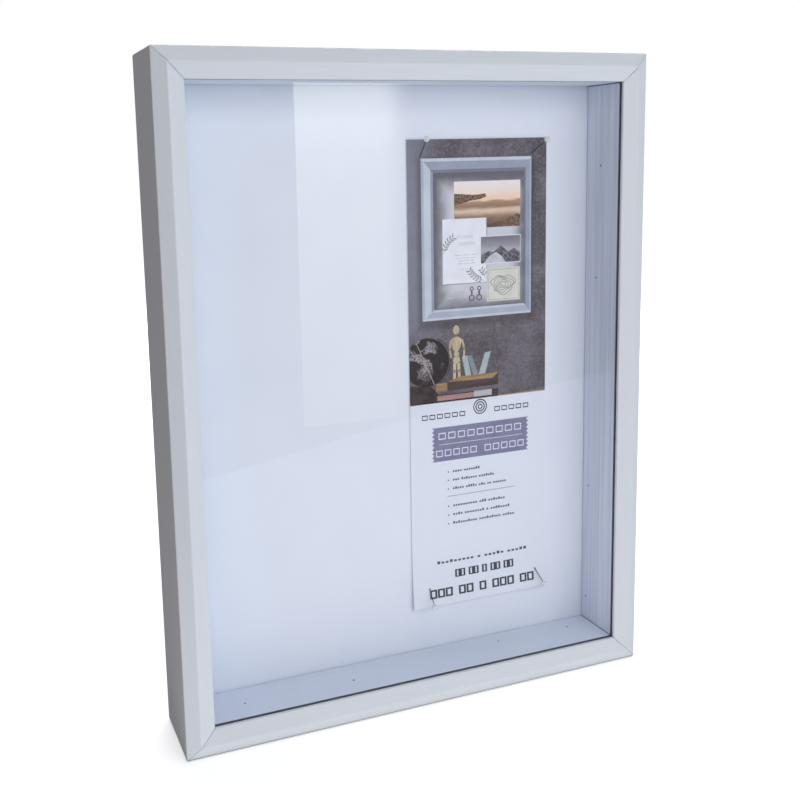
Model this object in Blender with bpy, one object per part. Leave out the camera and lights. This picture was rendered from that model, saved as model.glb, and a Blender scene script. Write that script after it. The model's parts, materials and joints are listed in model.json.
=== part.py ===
"""Shadow box: a deep mitred frame with a glass front, lined walls and a pin-cushion back panel.

Metres, +Z up. The front faces -Y, and the origin is the middle of the base of the whole box.
Each rail is modelled lying along its own X, with Z pointing in towards the opening and Y
running back from the foremost ridge of the moulding, and is then turned about Y into place.
"""

import math

import bmesh
import bpy
from mathutils import Matrix, Vector

# --- Driving dimensions ---------------------------------------------------------------------

INNER_WIDTH = 0.3048  # clear display space, 12 in
INNER_HEIGHT = 0.4064  # 16 in
INNER_DEPTH = 0.0381  # 1.5 in, the depth of the lined walls
FACE_WIDTH = 0.01905  # outer edge of the moulding to the opening
GAP = 0.0003  # clearance between pieces that touch
CUT_BEYOND = 0.003  # how far a cutter runs on past the piece it cuts

# Moulding section: distances in from the outer edge, and back from the ridge
RIDGE_INSET = 0.009
OUTER_EDGE_DROP = 0.0041
LIP_EDGE_DROP = 0.0034
LIP_BACK = 0.0057
MOULDING_DEPTH = 0.0615
WALL_THICKNESS = 0.01375
EDGE_SOFTENING = 0.0005

GLASS_THICKNESS = 0.0019
GLASS_EASING = 0.00024
PANEL_PLAY = 0.0008  # each side, for the glass and the back panel in the rabbet
LINER_EASING = 0.0003

# Back panel, front to back
FABRIC_THICKNESS = 0.0006
CUSHION_ROUNDING = 0.0022
BOARD_THICKNESS = 0.003
BOARD_EASING = 0.0003

# Insert card, measured from the middle of the opening
CARD_LEFT = 0.0071
CARD_RIGHT = 0.1175
CARD_TOP = 0.1674
CARD_BOTTOM = -0.1705
CARD_THICKNESS = 0.00035
CARD_CURL = 0.0026  # how far the free bottom edge lifts off the cushion
CARD_CURL_HEIGHT = 0.05
CARD_STEPS = 28

# Pins: where each enters the card from the middle of the opening, and how far it leans
# sideways and upwards for each unit that it stands out
PINS = {
    "pin_top_left": ((0.0171, 0.1553), (0.05, 1.2)),
    "pin_top_right": ((0.1045, 0.1558), (0.85, 1.05)),
    "pin_bottom_left": ((0.0202, -0.1552), (0.02, -1.4)),
    "pin_bottom_right": ((0.1082, -0.1546), (0.6, -1.5)),
}
PIN_OUTSIDE = 0.0155  # card to the middle of the head
PIN_INSIDE = 0.0105  # card to the point
PIN_RADIUS = 0.00035
PIN_HEAD_RADIUS = 0.0021
PIN_POINT = 0.002
PIN_HEAD_STEPS = 8

# Corner nail: a chevron pressed into the back of the mitre
CORNER_NAIL_LEG = 0.0055
CORNER_NAIL_SHEET = 0.0006
CORNER_NAIL_DEPTH = 0.009
CORNER_NAIL_INSET = 0.0078  # apex, in from both outer edges

# Brads that fasten the liners: place along the liner as a share of its half length, and
# depth behind the liner's front edge
BRADS = {
    "bottom": ((-0.83, 0.0179), (-0.32, 0.0166), (0.47, 0.0265), (0.86, 0.0254)),
    "right": ((-0.91, 0.0327), (-0.47, 0.0315), (0.32, 0.0253), (0.72, 0.0212)),
    "top": ((-0.84, 0.0215), (-0.3, 0.0235), (0.36, 0.0225), (0.88, 0.0205)),
    "left": ((-0.9, 0.0225), (-0.35, 0.0245), (0.31, 0.0205), (0.87, 0.0235)),
}
BRAD_RADIUS = 0.0006
BRAD_LENGTH = 0.0135
BRAD_POINT = 0.0014
BRAD_SINK = 0.0001

# Turn buttons and their screws, two to a rail
TURN_BUTTON_PLACES = {"bottom": 0.09, "top": 0.09, "left": 0.125, "right": 0.125}
TURN_BUTTON_INSET = 0.0069  # pivot, in from the outer edge
TURN_BUTTON_REACH = 0.0235  # pivot to the free end
TURN_BUTTON_HALF_WIDTH = 0.0045
TURN_BUTTON_SHEET = 0.0012
TURN_BUTTON_STEPS = 6  # straight runs round each of its ends
SCREW_RADIUS = 0.00135
SCREW_LENGTH = 0.0105
SCREW_HEAD_RADIUS = 0.0029
SCREW_HEAD_HEIGHT = 0.0017
SCREW_HEAD_CURVE = ((1, 0), (1, 0.4), (0.93, 0.75), (0.72, 1))  # shares of its radius and height
SCREW_SLOT_WIDTH = 0.0007
SCREW_SLOT_DEPTH = 0.0008

# Sawtooth hangers, one for each way up, and their nails
HANGERS = {"portrait": "top", "landscape": "left"}
HANGER_HALF_LENGTH = 0.0225
HANGER_FLAT_END = 0.0065
HANGER_RAMP = 0.003
HANGER_LIFT = 0.0012
HANGER_SHEET = 0.0008
HANGER_HALF_WIDTH = 0.0048
HANGER_TOOTH_DEPTH = 0.0022
HANGER_TEETH = 8
NAIL_RADIUS = 0.00065
NAIL_HEAD_RADIUS = 0.0018
NAIL_HEAD_HEIGHT = 0.0007
NAIL_HEAD_CURVE = ((1, 0), (1, 0.6), (0.8, 1))
NAIL_LENGTH = 0.0105

# --- Worked out from the above --------------------------------------------------------------

OUTER_WIDTH = INNER_WIDTH + 2 * FACE_WIDTH
OUTER_HEIGHT = INNER_HEIGHT + 2 * FACE_WIDTH
MIDDLE_HEIGHT = OUTER_HEIGHT / 2

HARDWARE_PROUD = GAP + TURN_BUTTON_SHEET + GAP + SCREW_HEAD_HEIGHT
FRONT = -(MOULDING_DEPTH + HARDWARE_PROUD) / 2  # Y of the moulding's ridge

GLASS_FRONT = LIP_BACK + GAP
LINER_FRONT = GLASS_FRONT + GLASS_THICKNESS + GAP
LINER_BACK = LINER_FRONT + INNER_DEPTH
LINER_WALL_SIDE = WALL_THICKNESS + GAP
PANEL_FRONT = LINER_BACK + GAP
BOARD_FRONT = MOULDING_DEPTH - BOARD_THICKNESS
FOAM_FRONT = PANEL_FRONT + FABRIC_THICKNESS + GAP
FABRIC_BACK = BOARD_FRONT - GAP

PANEL_WIDTH = OUTER_WIDTH - 2 * (WALL_THICKNESS + PANEL_PLAY)
PANEL_HEIGHT = OUTER_HEIGHT - 2 * (WALL_THICKNESS + PANEL_PLAY)
CARD_FRONT = PANEL_FRONT - GAP - CARD_THICKNESS

HALF_TURN = math.pi
QUARTER_TURN = math.pi / 2
BACKWARDS = Vector((0, 1, 0))

# --- Fineness of the shapes ------------------------------------------------------------------

ROUND_SIDES = 12  # sides of small turned pieces
BLUNT = 0.25  # radius left at the tip of a screw, nail or brad, as a share of its shank's
TAPER = 2.5  # length of a screw's or nail's point, in shank radii
SHARP_ANGLE = 35  # degrees between faces that stay a crisp edge
EASED_ANGLE = 20  # degrees from which an edge is eased
SAME_PLACE = 1e-6

# Each side of the frame: how long it is, where the middle of its outer edge is, and its turn
SIDES = {
    "bottom": (OUTER_WIDTH, Vector((0, FRONT, 0)), 0),
    "top": (OUTER_WIDTH, Vector((0, FRONT, OUTER_HEIGHT)), HALF_TURN),
    "left": (OUTER_HEIGHT, Vector((-OUTER_WIDTH / 2, FRONT, MIDDLE_HEIGHT)), QUARTER_TURN),
    "right": (OUTER_HEIGHT, Vector((OUTER_WIDTH / 2, FRONT, MIDDLE_HEIGHT)), -QUARTER_TURN),
}


# --- Materials ------------------------------------------------------------------------------


def material(name, colour, roughness, metallic=0.0, transmission=0.0):
    made = bpy.data.materials.new(name)
    made.use_nodes = True
    made.diffuse_color = (*colour, 1)
    shader = made.node_tree.nodes["Principled BSDF"]
    shader.inputs["Base Color"].default_value = (*colour, 1)
    shader.inputs["Roughness"].default_value = roughness
    shader.inputs["Metallic"].default_value = metallic
    shader.inputs["Transmission Weight"].default_value = transmission
    return made


def make_materials():
    return {
        "frame_foil": material("frame_foil", (0.58, 0.61, 0.63), 0.42),
        "glass": material("glass", (0.95, 0.98, 0.97), 0.02, transmission=1.0),
        "liner_paper": material("liner_paper", (0.55, 0.6, 0.68), 0.7),
        "cover_fabric": material("cover_fabric", (0.82, 0.84, 0.87), 0.85),
        "foam": material("foam", (0.88, 0.87, 0.83), 0.95),
        "fibreboard": material("fibreboard", (0.36, 0.25, 0.16), 0.75),
        "card": material("card", (0.85, 0.86, 0.88), 0.45),
        "zinc": material("zinc", (0.62, 0.62, 0.6), 0.35, metallic=1.0),
        "steel": material("steel", (0.4, 0.4, 0.42), 0.3, metallic=1.0),
        "pin_head": material("pin_head", (0.86, 0.88, 0.9), 0.12),
    }


# --- Building helpers -----------------------------------------------------------------------


def finished_mesh(name, form):
    """A mesh from a bmesh, with its normals pointing out."""
    form.normal_update()
    bmesh.ops.recalc_face_normals(form, faces=form.faces)
    mesh = bpy.data.meshes.new(name)
    form.to_mesh(mesh)
    form.free()
    return mesh


def new_object(name, form, finish):
    mesh = finished_mesh(name, form)
    mesh.materials.append(finish)
    made = bpy.data.objects.new(name, mesh)
    bpy.context.scene.collection.objects.link(made)
    return made


def place(made, side, offset):
    """Puts an object at an offset in a side's own axes, and turns it with that side."""
    _, corner, turn = SIDES[side]
    made.rotation_euler = (0, turn, 0)
    made.location = corner + Matrix.Rotation(turn, 3, "Y") @ Vector(offset)


def block(low, high):
    """A box between two corners."""
    form = bmesh.new()
    low, high = Vector(low), Vector(high)
    size = Matrix.Diagonal((*(high - low), 1))
    bmesh.ops.create_cube(form, size=1, matrix=Matrix.Translation((low + high) / 2) @ size)
    return form


def prism(outline, depth):
    """An outline in X and Z, pushed back along Y by depth."""
    form = bmesh.new()
    face = form.faces.new([form.verts.new((x, 0, z)) for x, z in outline])
    pushed = bmesh.ops.extrude_face_region(form, geom=[face])
    moved = [part for part in pushed["geom"] if isinstance(part, bmesh.types.BMVert)]
    bmesh.ops.translate(form, verts=moved, vec=(0, depth, 0))
    return form


def turned(profile):
    """A profile of (radius, height) points, from axis to axis, turned about Z."""
    form = bmesh.new()
    points = [form.verts.new((radius, 0, height)) for radius, height in profile]
    edges = [form.edges.new(pair) for pair in zip(points, points[1:])]
    bmesh.ops.spin(
        form,
        geom=points + edges,
        axis=(0, 0, 1),
        cent=(0, 0, 0),
        steps=ROUND_SIDES,
        angle=math.tau,
    )
    bmesh.ops.remove_doubles(form, verts=form.verts, dist=SAME_PLACE)
    return form


def bridge(form, rings):
    """Faces between each ring of corners and the next, and over both ends."""
    for one, other in zip(rings, rings[1:]):
        count = len(one)
        for here in range(count):
            following = (here + 1) % count
            form.faces.new((one[here], other[here], other[following], one[following]))
    form.faces.new(rings[0])
    form.faces.new(reversed(rings[-1]))


def mitred(profile, length):
    """A closed profile of (inset, depth) points, run along X and mitred at both ends."""
    form = bmesh.new()
    clearance = GAP / 2 * math.sqrt(2)
    ends = []
    for end in (-1, 1):
        reach = length / 2 - clearance
        corners = [(end * (reach - inset), depth, inset) for inset, depth in profile]
        ends.append([form.verts.new(corner) for corner in corners])
    bridge(form, ends)
    return form


def soften(made, width, segments=2):
    bevel = made.modifiers.new("soft_edges", "BEVEL")
    bevel.width = width
    bevel.segments = segments
    bevel.limit_method = "ANGLE"
    bevel.angle_limit = math.radians(EASED_ANGLE)
    bevel.harden_normals = True


def smooth(made):
    made.data.shade_smooth()
    made.data.set_sharp_from_angle(angle=math.radians(SHARP_ANGLE))


def cut(made, cutters):
    """Cuts a group of closed shapes, joined in one helper object, out of a piece."""
    modifier = made.modifiers.new("cut_" + cutters.name, "BOOLEAN")
    modifier.operation = "DIFFERENCE"
    modifier.solver = "EXACT"
    modifier.object = cutters


def cutter_group(name, forms):
    """One hidden helper object that holds several closed shapes, already in world space."""
    joined = bmesh.new()
    for form in forms:
        mesh = finished_mesh(name, form)
        joined.from_mesh(mesh)
        bpy.data.meshes.remove(mesh)
    mesh = bpy.data.meshes.new(name)
    joined.to_mesh(mesh)
    joined.free()
    helper = bpy.data.objects.new(name, mesh)
    helper.hide_render = True
    helper.display_type = "WIRE"
    bpy.context.scene.collection.objects.link(helper)
    return helper


def along(start, direction):
    """The turn and place that stand a shape's Z along a direction, from a start point."""
    turn = Vector(direction).to_track_quat("Z", "Y").to_matrix().to_4x4()
    return Matrix.Translation(start) @ turn


def moved(form, matrix):
    form.transform(matrix)
    return form


def side_matrix(side):
    _, corner, turn = SIDES[side]
    return Matrix.Translation(corner) @ Matrix.Rotation(turn, 4, "Y")


def rod(radius, start, end):
    """A plain round bar between two heights on Z."""
    return turned([(0, start), (radius, start), (radius, end), (0, end)])


def fastener(radius, length, head_radius, head_height, head_curve):
    """A pointed shank with a domed head, standing on Z with the underside of its head at zero."""
    head = [(head_radius * share, head_height * rise) for share, rise in head_curve]
    point = -length + TAPER * radius
    return turned(
        [(0, -length), (radius * BLUNT, -length), (radius, point), (radius, 0), *head, (0, head_height)]
    )


# --- Frame ----------------------------------------------------------------------------------

MOULDING_PROFILE = (
    (0, OUTER_EDGE_DROP),
    (RIDGE_INSET, 0),
    (FACE_WIDTH, LIP_EDGE_DROP),
    (FACE_WIDTH, LIP_BACK),
    (WALL_THICKNESS, LIP_BACK),
    (WALL_THICKNESS, MOULDING_DEPTH),
    (0, MOULDING_DEPTH),
)

LINER_PROFILE = (
    (LINER_WALL_SIDE, LINER_FRONT),
    (FACE_WIDTH, LINER_FRONT),
    (FACE_WIDTH, LINER_BACK),
    (LINER_WALL_SIDE, LINER_BACK),
)


def chevron(spread):
    """The corner nail's plan, grown by spread on all sides, with its apex at the origin.

    Its legs run along +X and +Z, so each lies in one of the two rails that meet at a corner.
    """
    outer = -spread
    inner = CORNER_NAIL_SHEET + spread
    tip = CORNER_NAIL_LEG + spread
    return ((outer, outer), (tip, outer), (tip, inner), (inner, inner), (inner, tip), (outer, tip))


# Which way is inwards at each corner, along X and along Z
CORNERS = {
    "bottom_left": (1, 1),
    "bottom_right": (-1, 1),
    "top_left": (1, -1),
    "top_right": (-1, -1),
}


def corner_matrix(inward_x, inward_z):
    """Stands a corner nail's plan at a corner, with its legs pointing inwards."""
    apex_x = -inward_x * (OUTER_WIDTH / 2 - CORNER_NAIL_INSET)
    apex_z = MIDDLE_HEIGHT - inward_z * (MIDDLE_HEIGHT - CORNER_NAIL_INSET)
    flip = Matrix.Diagonal((inward_x, 1, inward_z, 1))
    return Matrix.Translation((apex_x, FRONT, apex_z)) @ flip


def make_corner_nails(finish):
    """The four corner nails, and one helper that cuts the slots they sit in."""
    slots = []
    start = MOULDING_DEPTH - CORNER_NAIL_DEPTH
    for corner, (inward_x, inward_z) in CORNERS.items():
        stand = corner_matrix(inward_x, inward_z)
        form = moved(prism(chevron(0), CORNER_NAIL_DEPTH), Matrix.Translation((0, start, 0)))
        new_object(f"corner_nail_{corner}", moved(form, stand), finish)
        slot = prism(chevron(GAP), CORNER_NAIL_DEPTH + CUT_BEYOND)
        slots.append(moved(moved(slot, Matrix.Translation((0, start - GAP, 0))), stand))
    return cutter_group("corner_nail_slots", slots)


def make_rails(finish):
    rails = {}
    for side, (length, corner, turn) in SIDES.items():
        name = f"{side}_rail" if side in ("top", "bottom") else f"{side}_stile"
        rail = new_object(name, mitred(MOULDING_PROFILE, length), finish)
        rail.location = corner
        rail.rotation_euler = (0, turn, 0)
        soften(rail, EDGE_SOFTENING)
        smooth(rail)
        rails[side] = rail
    return rails


def make_liners(finish):
    liners = {}
    for side, (length, corner, turn) in SIDES.items():
        liner = new_object(f"liner_{side}", mitred(LINER_PROFILE, length), finish)
        liner.location = corner
        liner.rotation_euler = (0, turn, 0)
        soften(liner, LINER_EASING, segments=1)
        liners[side] = liner
    return liners


def make_glass(finish):
    half_width, half_height = PANEL_WIDTH / 2, PANEL_HEIGHT / 2
    form = block(
        (-half_width, 0, -half_height),
        (half_width, GLASS_THICKNESS, half_height),
    )
    pane = new_object("glass_pane", form, finish)
    pane.location = (0, FRONT + GLASS_FRONT, MIDDLE_HEIGHT)
    soften(pane, GLASS_EASING, segments=1)


def make_brads(rails, liners, finish):
    """Brads through the liners into the rails, each in a hole with clearance."""
    profile = (
        (0, 0),
        (BRAD_RADIUS * BLUNT, 0),
        (BRAD_RADIUS, BRAD_POINT),
        (BRAD_RADIUS, BRAD_LENGTH),
        (0, BRAD_LENGTH),
    )
    head = FACE_WIDTH - BRAD_SINK
    for side, places in BRADS.items():
        half_length = SIDES[side][0] / 2 - FACE_WIDTH
        stand = side_matrix(side)
        holes = []
        for number, (share, depth) in enumerate(places, start=1):
            foot = Vector((share * half_length, LINER_FRONT + depth, head - BRAD_LENGTH))
            brad = new_object(f"brad_{side}_{number}", turned(profile), finish)
            place(brad, side, foot)
            smooth(brad)
            hole = rod(BRAD_RADIUS + GAP, -GAP, BRAD_LENGTH + CUT_BEYOND)
            holes.append(moved(hole, stand @ Matrix.Translation(foot)))
        helper = cutter_group(f"brad_holes_{side}", holes)
        cut(liners[side], helper)
        cut(rails[side], helper)


# --- Back hardware --------------------------------------------------------------------------


def button_outline():
    """A plate with round ends, its pivot at the origin and its free end along +X."""
    half = TURN_BUTTON_HALF_WIDTH
    points = []
    for middle, start in ((TURN_BUTTON_REACH - half, -QUARTER_TURN), (0, QUARTER_TURN)):
        for step in range(TURN_BUTTON_STEPS + 1):
            angle = start + HALF_TURN * step / TURN_BUTTON_STEPS
            points.append((middle + half * math.cos(angle), half * math.sin(angle)))
    return points


def make_screw(name, finish):
    form = fastener(
        SCREW_RADIUS, SCREW_LENGTH, SCREW_HEAD_RADIUS, SCREW_HEAD_HEIGHT, SCREW_HEAD_CURVE
    )
    screw = new_object(name, form, finish)
    smooth(screw)
    return screw


def slot_form():
    """The driver slot across a screw's head."""
    reach = SCREW_HEAD_RADIUS + GAP
    half = SCREW_SLOT_WIDTH / 2
    return block(
        (-reach, -half, SCREW_HEAD_HEIGHT - SCREW_SLOT_DEPTH),
        (reach, half, SCREW_HEAD_HEIGHT + GAP),
    )


def make_turn_buttons(rails, finish):
    """Two turn buttons to a rail, parallel to it, each on its own screw. Buttons turn about Y."""
    for side, reach in TURN_BUTTON_PLACES.items():
        holes = []
        for hand, end in (("a", -1), ("b", 1)):
            which = f"{side}_{hand}"
            pivot = Vector((end * reach, MOULDING_DEPTH + GAP, TURN_BUTTON_INSET))
            outline = [(-end * x, z) for x, z in button_outline()]
            button = new_object(f"turn_button_{which}", prism(outline, TURN_BUTTON_SHEET), finish)
            place(button, side, pivot)
            centre = side_matrix(side) @ pivot
            bore = moved(rod(SCREW_RADIUS + GAP, -GAP, TURN_BUTTON_SHEET + GAP), along(centre, BACKWARDS))
            cut(button, cutter_group(f"pivot_hole_{which}", [bore]))

            seat = along(centre + (TURN_BUTTON_SHEET + GAP) * BACKWARDS, BACKWARDS)
            screw = make_screw(f"button_screw_{which}", finish)
            screw.matrix_world = seat
            cut(screw, cutter_group(f"driver_slot_{which}", [moved(slot_form(), seat)]))
            holes.append(moved(rod(SCREW_RADIUS + GAP, -SCREW_LENGTH - GAP, 0), seat))
        cut(rails[side], cutter_group(f"button_pilots_{side}", holes))


def hanger_columns():
    """(x, lift off the rail, tooth depth) at each fold and tooth along the hanger."""
    inner = HANGER_HALF_LENGTH - HANGER_FLAT_END
    raised = inner - HANGER_RAMP
    left = [(-HANGER_HALF_LENGTH, 0, 0), (-inner, 0, 0), (-raised, HANGER_LIFT, 0)]
    pitch = 2 * raised / (2 * HANGER_TEETH)
    teeth = []
    for step in range(1, 2 * HANGER_TEETH):
        bite = HANGER_TOOTH_DEPTH if step % 2 else 0
        teeth.append((-raised + step * pitch, HANGER_LIFT, bite))
    right = [(-x, lift, bite) for x, lift, bite in reversed(left)]
    return left + teeth + right


def hanger_form():
    """A strip with flat nailed ends and a raised toothed middle. Its teeth point to +Z."""
    form = bmesh.new()
    rings = []
    for x, lift, bite in hanger_columns():
        toothed = HANGER_HALF_WIDTH - bite
        rings.append(
            [
                form.verts.new((x, lift, -HANGER_HALF_WIDTH)),
                form.verts.new((x, lift, toothed)),
                form.verts.new((x, lift + HANGER_SHEET, toothed)),
                form.verts.new((x, lift + HANGER_SHEET, -HANGER_HALF_WIDTH)),
            ]
        )
    bridge(form, rings)
    return form


def make_hangers(rails, finish):
    """A sawtooth hanger in the middle of the top rail, and one on a stile for the other way up."""
    nail_reach = HANGER_HALF_LENGTH - HANGER_FLAT_END / 2
    for use, side in HANGERS.items():
        seat = Vector((0, MOULDING_DEPTH + GAP, TURN_BUTTON_INSET))
        hanger = new_object(f"hanger_{use}", hanger_form(), finish)
        place(hanger, side, seat)
        bores, pilots = [], []
        for number, end in enumerate((-1, 1), start=1):
            foot = side_matrix(side) @ (seat + Vector((end * nail_reach, 0, 0)))
            bore = rod(NAIL_RADIUS + GAP, -GAP, HANGER_SHEET + GAP)
            bores.append(moved(bore, along(foot, BACKWARDS)))

            top = along(foot + (HANGER_SHEET + GAP) * BACKWARDS, BACKWARDS)
            form = fastener(
                NAIL_RADIUS, NAIL_LENGTH, NAIL_HEAD_RADIUS, NAIL_HEAD_HEIGHT, NAIL_HEAD_CURVE
            )
            nail = new_object(f"hanger_nail_{use}_{number}", form, finish)
            nail.matrix_world = top
            smooth(nail)
            pilots.append(moved(rod(NAIL_RADIUS + GAP, -NAIL_LENGTH - GAP, 0), top))
        cut(hanger, cutter_group(f"hanger_holes_{use}", bores))
        cut(rails[side], cutter_group(f"hanger_pilots_{use}", pilots))


# --- Back panel -----------------------------------------------------------------------------


def panel_block(front, back, inset):
    """A box of the panel's size, drawn in by an inset, between two depths."""
    half_width = PANEL_WIDTH / 2 - inset
    half_height = PANEL_HEIGHT / 2 - inset
    return block((-half_width, front, -half_height), (half_width, back, half_height))


def round_front(form, front, width):
    """Rounds the edges of a box's front face and its four front-to-back edges."""
    edges = [
        edge
        for edge in form.edges
        if any(abs(vertex.co.y - front) < SAME_PLACE for vertex in edge.verts)
    ]
    bmesh.ops.bevel(
        form, geom=edges, offset=width, segments=3, profile=0.5, affect="EDGES", clamp_overlap=True
    )


def make_panel(materials):
    """The board, the foam and the fabric stretched over it, in the frame's middle axes."""
    board_form = panel_block(BOARD_FRONT, MOULDING_DEPTH, 0)
    board = new_object("back_board", board_form, materials["fibreboard"])
    soften(board, BOARD_EASING, segments=1)

    foam_inset = FABRIC_THICKNESS + GAP
    foam_form = panel_block(FOAM_FRONT, FABRIC_BACK, foam_inset)
    round_front(foam_form, FOAM_FRONT, CUSHION_ROUNDING - FABRIC_THICKNESS)
    foam = new_object("cushion_foam", foam_form, materials["foam"])

    fabric_form = panel_block(PANEL_FRONT, FABRIC_BACK, 0)
    round_front(fabric_form, PANEL_FRONT, CUSHION_ROUNDING)
    back_faces = [
        face
        for face in fabric_form.faces
        if face.calc_center_median().y > FABRIC_BACK - SAME_PLACE
    ]
    bmesh.ops.delete(fabric_form, geom=back_faces, context="FACES_ONLY")
    fabric = new_object("cushion_fabric", fabric_form, materials["cover_fabric"])
    shell = fabric.modifiers.new("thickness", "SOLIDIFY")
    shell.thickness = FABRIC_THICKNESS
    shell.offset = -1
    shell.use_even_offset = True

    for made in (board, foam, fabric):
        made.location = (0, FRONT, MIDDLE_HEIGHT)
    smooth(fabric)
    smooth(foam)
    return foam, fabric


def card_lift(height):
    """How far the card stands off the cushion at a height: its free bottom edge curls forward."""
    free = max(0.0, CARD_BOTTOM + CARD_CURL_HEIGHT - height)
    return CARD_CURL * (free / CARD_CURL_HEIGHT) ** 2


def make_card(finish):
    form = bmesh.new()
    rings = []
    for step in range(CARD_STEPS + 1):
        height = CARD_TOP + (CARD_BOTTOM - CARD_TOP) * step / CARD_STEPS
        front = CARD_FRONT - card_lift(height)
        back = front + CARD_THICKNESS
        corners = ((CARD_LEFT, front), (CARD_RIGHT, front), (CARD_RIGHT, back), (CARD_LEFT, back))
        rings.append([form.verts.new((x, y, height)) for x, y in corners])
    bridge(form, rings)
    card = new_object("insert_card", form, finish)
    card.location = (0, FRONT, MIDDLE_HEIGHT)
    smooth(card)
    return card


def pin_profile():
    """The pin from its point to its ball head, with the card's surface at zero."""
    neck = math.asin(PIN_RADIUS / PIN_HEAD_RADIUS)
    points = [(0, -PIN_INSIDE), (PIN_RADIUS, -PIN_INSIDE + PIN_POINT)]
    for step in range(PIN_HEAD_STEPS):
        angle = neck + (HALF_TURN - neck) * step / PIN_HEAD_STEPS
        points.append(
            (PIN_HEAD_RADIUS * math.sin(angle), PIN_OUTSIDE - PIN_HEAD_RADIUS * math.cos(angle))
        )
    points.append((0, PIN_OUTSIDE + PIN_HEAD_RADIUS))
    return points


def make_pins(pierced, finish, head_finish):
    """Ball-head pins through the card into the foam. Each slides along its own length."""
    holes = []
    for name, ((x, z), (lean_x, lean_z)) in PINS.items():
        entry = Vector((x, FRONT + CARD_FRONT, MIDDLE_HEIGHT + z))
        stand = along(entry, (lean_x, -1, lean_z))
        pin = new_object(name, turned(pin_profile()), finish)
        pin.data.materials.append(head_finish)
        for face in pin.data.polygons:
            face.material_index = int(face.center.z > PIN_OUTSIDE - PIN_HEAD_RADIUS)
        pin.matrix_world = stand
        smooth(pin)
        holes.append(moved(rod(PIN_RADIUS + GAP, -PIN_INSIDE - GAP, PIN_OUTSIDE / 2), stand))
    helper = cutter_group("pin_holes", holes)
    for made in pierced:
        cut(made, helper)


# --- The whole box --------------------------------------------------------------------------


def main():
    for old in list(bpy.data.objects):
        bpy.data.objects.remove(old, do_unlink=True)
    materials = make_materials()

    rails = make_rails(materials["frame_foil"])
    slots = make_corner_nails(materials["steel"])
    for rail in rails.values():
        cut(rail, slots)
    liners = make_liners(materials["liner_paper"])
    make_glass(materials["glass"])
    make_brads(rails, liners, materials["steel"])

    make_turn_buttons(rails, materials["zinc"])
    make_hangers(rails, materials["zinc"])

    foam, fabric = make_panel(materials)
    card = make_card(materials["card"])
    make_pins((card, fabric, foam), materials["steel"], materials["pin_head"])


main()
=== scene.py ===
"""The shadow box's looks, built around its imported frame. Metres, +Z up, front to -Y."""

import json
import math
import random

import bmesh
import bpy
import numpy as np
from mathutils import Matrix, Vector, noise


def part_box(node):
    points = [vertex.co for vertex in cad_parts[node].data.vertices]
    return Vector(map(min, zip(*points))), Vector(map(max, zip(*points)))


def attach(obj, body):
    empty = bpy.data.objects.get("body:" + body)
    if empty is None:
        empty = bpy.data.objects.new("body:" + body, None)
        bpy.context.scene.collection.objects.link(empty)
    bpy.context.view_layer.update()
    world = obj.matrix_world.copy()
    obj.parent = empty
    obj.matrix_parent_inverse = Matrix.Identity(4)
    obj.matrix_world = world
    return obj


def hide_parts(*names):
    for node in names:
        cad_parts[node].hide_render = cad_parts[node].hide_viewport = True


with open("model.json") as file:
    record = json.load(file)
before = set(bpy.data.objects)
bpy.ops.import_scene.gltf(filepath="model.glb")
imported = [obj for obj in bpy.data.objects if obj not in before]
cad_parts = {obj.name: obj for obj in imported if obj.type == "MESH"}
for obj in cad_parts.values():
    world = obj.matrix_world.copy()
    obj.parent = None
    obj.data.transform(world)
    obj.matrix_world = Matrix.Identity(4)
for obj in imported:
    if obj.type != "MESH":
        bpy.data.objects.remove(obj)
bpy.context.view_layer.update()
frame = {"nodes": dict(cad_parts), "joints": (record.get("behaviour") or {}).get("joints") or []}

MM = 0.001

# --- Places read from the frame ---------------------------------------------------------------

BOX_LOW, BOX_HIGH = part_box("left_stile")
RIGHT_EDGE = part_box("right_stile")[1].x
BOX_TOP = BOX_HIGH.z
RAIL_BACK = BOX_HIGH.y
LIP_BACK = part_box("glass_pane")[0].y
LINER_LOW, LINER_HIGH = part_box("liner_right")
MIDDLE = BOX_TOP / 2
WALL = RIGHT_EDGE - LINER_HIGH.x
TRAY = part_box("liner_bottom")[1].z  # the height of the bottom liner's upper face


# --- Procedural materials ---------------------------------------------------------------------


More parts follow.
